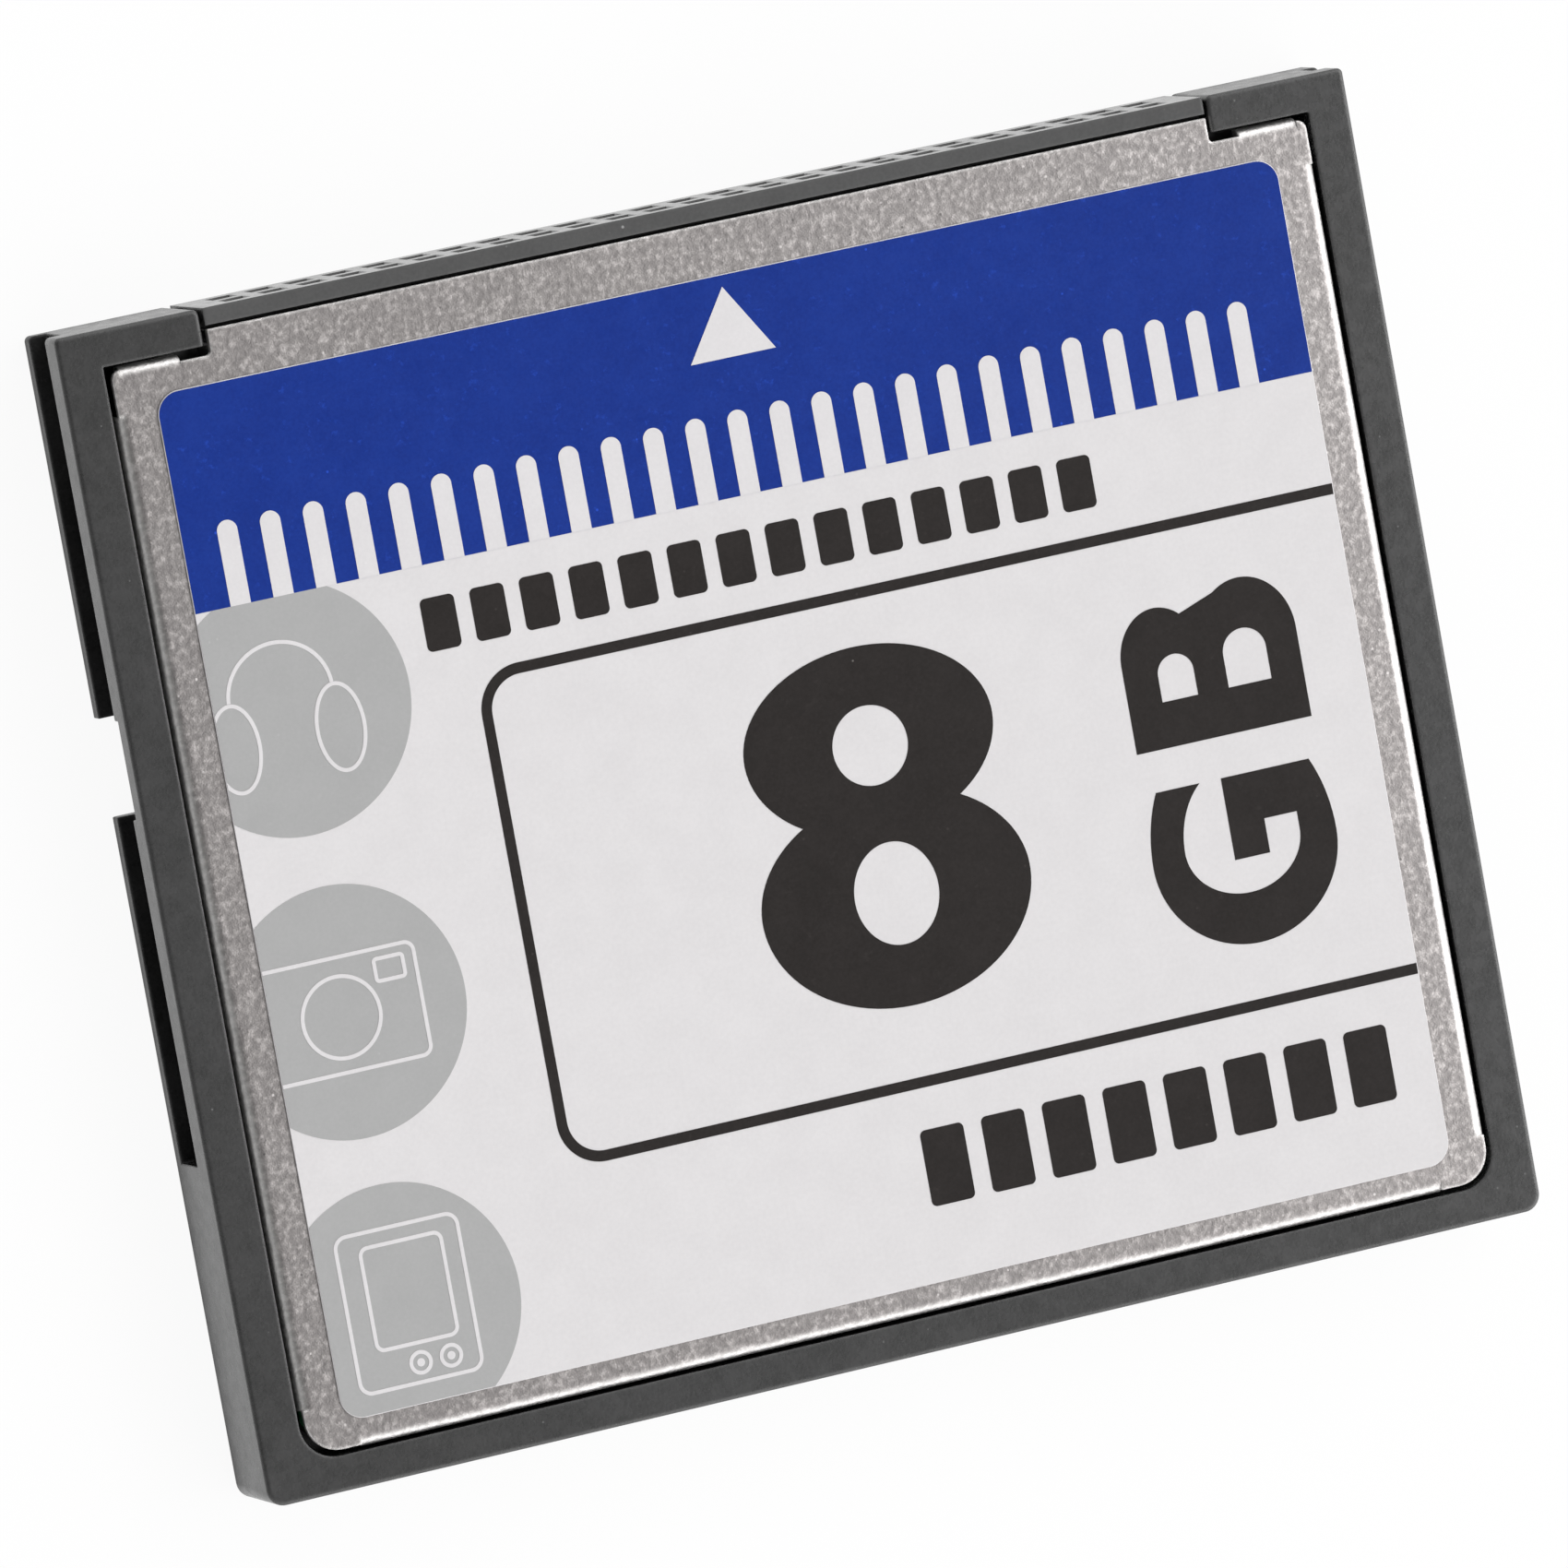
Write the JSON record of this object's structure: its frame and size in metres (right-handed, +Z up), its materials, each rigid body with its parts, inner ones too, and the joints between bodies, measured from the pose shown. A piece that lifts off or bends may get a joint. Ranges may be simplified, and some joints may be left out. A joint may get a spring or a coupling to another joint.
{
  "type": "memory card",
  "caption": "Flat removable memory card with a moulded frame, folded metal covers, side guide slots and a socket connector along one edge.",
  "frame": {"origin": "centre of the underside", "axes": "+Z up through the label, +Y towards the connector edge, +X to the right as the label is read"},
  "size_m": [0.0428, 0.0364, 0.0033],
  "materials": {
    "frame_plastic": "fine moulded grain",
    "cover_steel": "sandblasted",
    "connector_plastic": "smooth moulded",
    "contact_metal": "gold plated",
    "board_laminate": "solder mask",
    "label_paper": "printed, satin",
    "chip_epoxy": "moulded epoxy",
    "lead_metal": "tinned",
    "part_ceramic": "matt",
    "capacitor_ceramic": "matt"
  },
  "bodies": {
    "root": {"frame": "frame_plastic", "top_cover": "cover_steel", "bottom_cover": "cover_steel", "connector_housing": "connector_plastic", "upper_contacts": "contact_metal", "lower_contacts": "contact_metal", "circuit_board": "board_laminate", "front_label": "label_paper", "upper_flash_body": "chip_epoxy", "lower_flash_body": "chip_epoxy", "controller_body": "chip_epoxy", "regulator_body": "chip_epoxy", "upper_flash_leads": "lead_metal", "lower_flash_leads": "lead_metal", "controller_leads": "lead_metal", "regulator_leads": "lead_metal", "crystal_base": "part_ceramic", "crystal_lid": "lead_metal", "capacitor_bodies": "capacitor_ceramic", "capacitor_terminals": "lead_metal", "resistor_bodies": "part_ceramic", "resistor_terminals": "lead_metal"}
  },
  "joints": []
}
